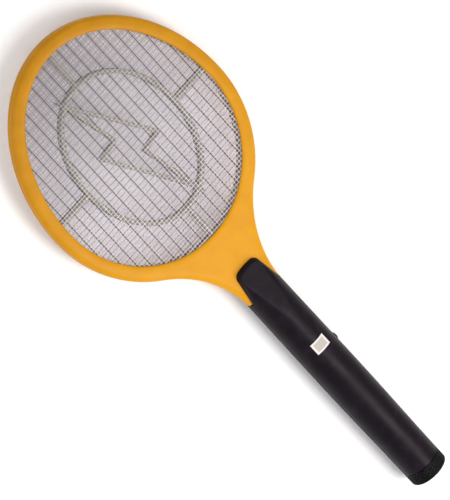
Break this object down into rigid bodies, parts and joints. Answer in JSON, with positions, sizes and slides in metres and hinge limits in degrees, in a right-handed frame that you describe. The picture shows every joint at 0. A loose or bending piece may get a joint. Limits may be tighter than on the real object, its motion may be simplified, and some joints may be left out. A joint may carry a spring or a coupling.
{
  "type": "electric fly swatter",
  "caption": "Racket-shaped electric fly swatter: oval framed wire nets on a round handle with cells, step-up circuit, side push button and a screw battery cap.",
  "frame": {"origin": "middle of the bounding box in X and Y, on the surface that the racket lies on, face up", "axes": "+Z out of the front net, +Y along the handle to the tip of the head, +X to the side with the push button"},
  "size_m": [0.1972, 0.5, 0.0369],
  "materials": {
    "amber_plastic": "amber moulded plastic, soft gloss",
    "net_wire": "bright drawn wire",
    "grid_wire": "dull drawn wire",
    "beige_plastic": "beige moulded plastic",
    "steel": "zinc-plated steel",
    "black_plastic": "black moulded plastic, satin",
    "button_plastic": "black moulded plastic, satin",
    "label_paper": "white sticker paper",
    "board_laminate": "phenolic laminate",
    "ferrite": "grey ferrite",
    "copper_wire": "enamelled copper wire",
    "capacitor_coat": "dipped coating",
    "black_epoxy": "moulded epoxy",
    "resistor_body": "lacquered ceramic",
    "lamp_lens": "clear red lens",
    "white_plastic": "white moulded plastic",
    "cell_jacket": "printed metal jacket",
    "lead_red": "insulated lead",
    "lead_yellow": "insulated lead",
    "lead_black": "insulated lead"
  },
  "bodies": {
    "racket": {"front_frame": "amber_plastic", "rear_frame": "amber_plastic", "front_net": "net_wire", "rear_net": "net_wire", "inner_grid": "grid_wire", "front_spacer": "beige_plastic", "rear_spacer": "beige_plastic", "rim_screw_1": "steel", "rim_screw_2": "steel", "rim_screw_3": "steel", "rim_screw_4": "steel", "rim_screw_5": "steel", "rim_screw_6": "steel", "neck_screw_left": "steel", "neck_screw_right": "steel", "handle_screw_upper": "steel", "handle_screw_lower": "steel", "contact_plus": "steel", "contact_minus": "steel", "handle_front": "black_plastic", "handle_rear": "black_plastic", "label": "label_paper", "circuit_board": "board_laminate", "transformer_core": "ferrite", "transformer_winding": "copper_wire", "high_voltage_capacitor": "capacitor_coat", "transistor": "black_epoxy", "diode_1": "black_epoxy", "diode_2": "black_epoxy", "diode_3": "black_epoxy", "switch_body": "black_epoxy", "bleed_resistor": "resistor_body", "indicator_lamp": "lamp_lens", "cell_left": "cell_jacket", "cell_right": "cell_jacket", "lead_front_net": "lead_red", "lead_rear_net": "lead_red", "lead_battery_plus": "lead_red", "lead_grid": "lead_yellow", "lead_battery_minus": "lead_black"},
    "button": {"push_button": "button_plastic", "switch_plunger": "white_plastic"},
    "cap_contacts": {"cap_contact": "steel", "cap_spring_left": "steel", "cap_spring_right": "steel"},
    "cap": {"battery_cap": "black_plastic"}
  },
  "joints": [
    {"name": "button_press", "type": "slide", "parent": "racket", "child": "button", "axis": [-1, 0, 0], "range_m": [0, 0.0015], "stiffness_N_per_m": 800},
    {"name": "cap_draw", "type": "slide", "parent": "racket", "child": "cap_contacts", "axis": [0, -1, 0], "range_m": [0, 0.0075]},
    {"name": "cap_turn", "type": "hinge", "parent": "cap_contacts", "child": "cap", "pos_m": [0, -0.25, 0.0183], "axis": [0, -1, 0], "range_deg": [0, 1080]}
  ],
  "couplings": [
    {"joint": "cap_draw", "follows": "cap_turn", "m_per_rad": 0.0003978}
  ]
}
